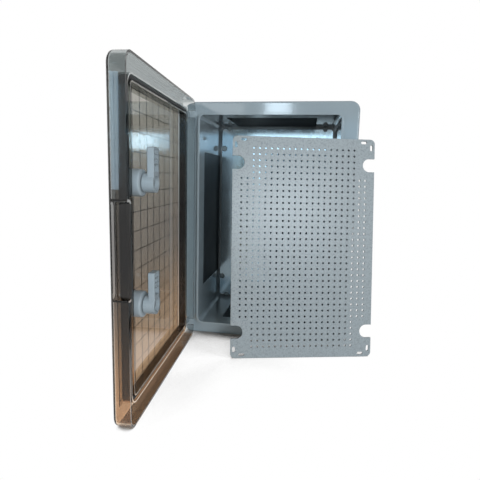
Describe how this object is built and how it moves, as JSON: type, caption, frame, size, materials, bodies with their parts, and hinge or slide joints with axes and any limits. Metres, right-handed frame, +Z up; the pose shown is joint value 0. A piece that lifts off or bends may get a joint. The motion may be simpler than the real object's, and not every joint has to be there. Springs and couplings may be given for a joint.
{
  "type": "electrical cabinet",
  "caption": "Moulded ABS wall cabinet with a smoked see-through hinged door, quarter-turn latches, side cable entries, a steel mounting plate and a loose perforated panel.",
  "frame": {"origin": "midway between the four wall fixings, on the wall plane behind the cabinet", "axes": "+X to the right seen from the front, +Y to the wall behind the cabinet, +Z up"},
  "size_m": [0.343, 0.4938, 0.43],
  "materials": {
    "abs_blue_grey": "glossy moulded ABS, blue-grey",
    "abs_dark": "dark satin moulded plastic",
    "seal_rubber": "black foamed rubber",
    "zinc_steel": "zinc-plated steel",
    "galvanised_sheet": "bright galvanised sheet steel",
    "smoked_polycarbonate": "clear smoked polycarbonate",
    "latch_nylon": "grey moulded nylon"
  },
  "bodies": {
    "cabinet": {"base": "abs_blue_grey", "entry_plate_right": "abs_dark", "entry_plate_top": "abs_dark", "entry_plate_left": "abs_dark", "entry_plate_bottom": "abs_dark", "entry_seal_right": "seal_rubber", "entry_seal_top": "seal_rubber", "entry_seal_left": "seal_rubber", "entry_seal_bottom": "seal_rubber", "entry_screws": "zinc_steel", "mounting_plate": "galvanised_sheet", "mounting_plate_screws": "zinc_steel"},
    "door": {"door": "smoked_polycarbonate", "door_gasket": "seal_rubber", "hinge_pin_top": "zinc_steel", "hinge_pin_bottom": "zinc_steel", "latch_bezel_upper": "latch_nylon", "latch_bezel_lower": "latch_nylon", "latch_seal_upper": "seal_rubber", "latch_seal_lower": "seal_rubber", "latch_nut_upper": "latch_nylon", "latch_nut_lower": "latch_nylon"},
    "upper_latch": {"latch_spindle_upper": "latch_nylon", "latch_cam_upper": "latch_nylon", "latch_screw_upper": "zinc_steel"},
    "lower_latch": {"latch_spindle_lower": "latch_nylon", "latch_cam_lower": "latch_nylon", "latch_screw_lower": "zinc_steel"},
    "panel": {"perforated_panel": "abs_blue_grey"}
  },
  "joints": [
    {"name": "door_hinge", "type": "hinge", "parent": "cabinet", "child": "door", "pos_m": [-0.147, -0.194, 0], "axis": [0, 0, -1], "range_deg": [-87.7, 12.3]},
    {"name": "upper_latch_turn", "type": "hinge", "parent": "door", "child": "upper_latch", "pos_m": [-0.13705, -0.4418, 0.075], "axis": [0.9992, 0.0401, 0], "range_deg": [0, 90]},
    {"name": "lower_latch_turn", "type": "hinge", "parent": "door", "child": "lower_latch", "pos_m": [-0.13705, -0.4418, -0.075], "axis": [0.9992, 0.0401, 0], "range_deg": [0, 90]},
    {"name": "panel_aside", "type": "slide", "parent": "cabinet", "child": "panel", "axis": [0.9686, 0.2487, 0], "range_m": [-0.0387, 0.2756]}
  ],
  "couplings": [
    {"joint": "panel_aside", "follows": "door_hinge", "m_per_rad": -0.18}
  ]
}
